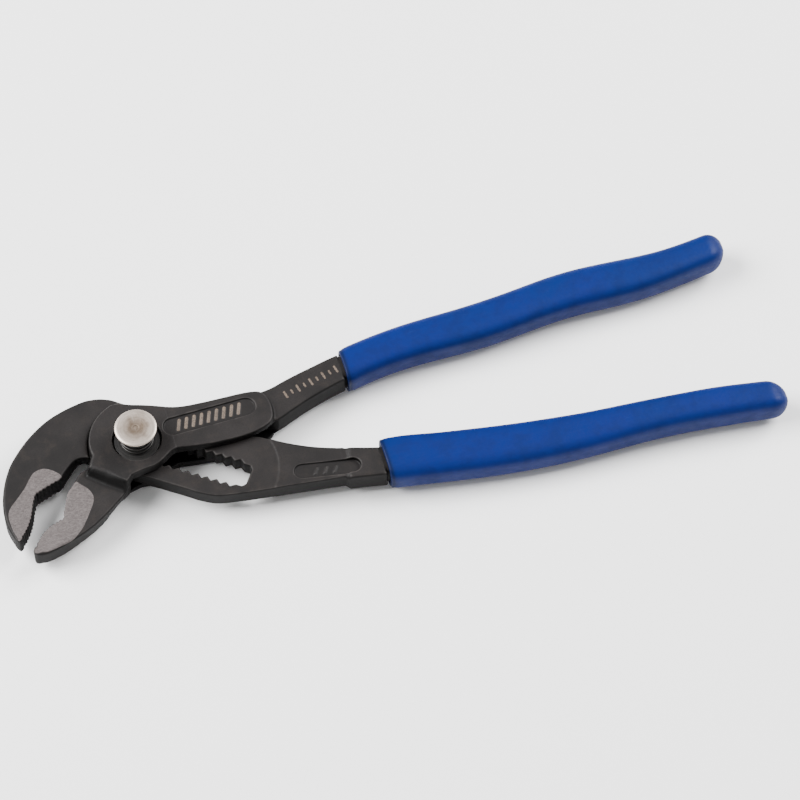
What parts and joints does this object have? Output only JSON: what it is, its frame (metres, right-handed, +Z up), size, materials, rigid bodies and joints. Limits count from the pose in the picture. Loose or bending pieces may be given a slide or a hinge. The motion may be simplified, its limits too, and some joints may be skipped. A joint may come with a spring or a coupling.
{
  "type": "tongue and groove pliers",
  "caption": "Push-button box-joint water-pump pliers with a serrated hook jaw, a fixed jaw, a toothed adjustment slot and dipped handle sleeves.",
  "frame": {"origin": "centre of the bounding box in plan, at its lowest face, which is the rear cheek's outer face", "axes": "+X from the jaws to the handle ends, +Z up out of the push button, +Y towards the handle of the button lever"},
  "size_m": [0.2484, 0.0692, 0.0205],
  "materials": {
    "black_oxide_hook": "black oxide on forged steel, gripping faces ground bright",
    "black_oxide_lever": "black oxide on forged steel, gripping faces ground bright",
    "bare_steel": "turned and oiled steel",
    "satin_nickel": "satin nickel plate",
    "spring_steel": "oil tempered wire",
    "washer_steel": "dark tempered steel",
    "blue_vinyl_upper": "dipped blue vinyl, semi-matt",
    "blue_vinyl_lower": "dipped blue vinyl, semi-matt"
  },
  "bodies": {
    "button_lever": {"button_arm": "black_oxide_lever", "upper_grip": "blue_vinyl_upper"},
    "pivot_carrier": {"spring_seat_washer": "washer_steel", "button_spring": "spring_steel"},
    "release_pin": {"pivot_pin": "bare_steel", "button_cap": "satin_nickel"},
    "hook_lever": {"slot_arm": "black_oxide_hook", "lower_grip": "blue_vinyl_lower"}
  },
  "joints": [
    {"name": "jaw_pivot", "type": "hinge", "parent": "button_lever", "child": "pivot_carrier", "pos_m": [-0.07808, 0.01014, 0.00675], "axis": [0, 0, -1], "range_deg": [-5, 33]},
    {"name": "adjust_slide", "type": "slide", "parent": "pivot_carrier", "child": "hook_lever", "axis": [-0.8192, 0.5736, 0], "range_m": [0, 0.0189]},
    {"name": "button_press", "type": "slide", "parent": "pivot_carrier", "child": "release_pin", "axis": [0, 0, -1], "range_m": [0, 0.0044], "stiffness_N_per_m": 1000, "springref_m": -0.003, "deforming": ["button_spring"]}
  ]
}
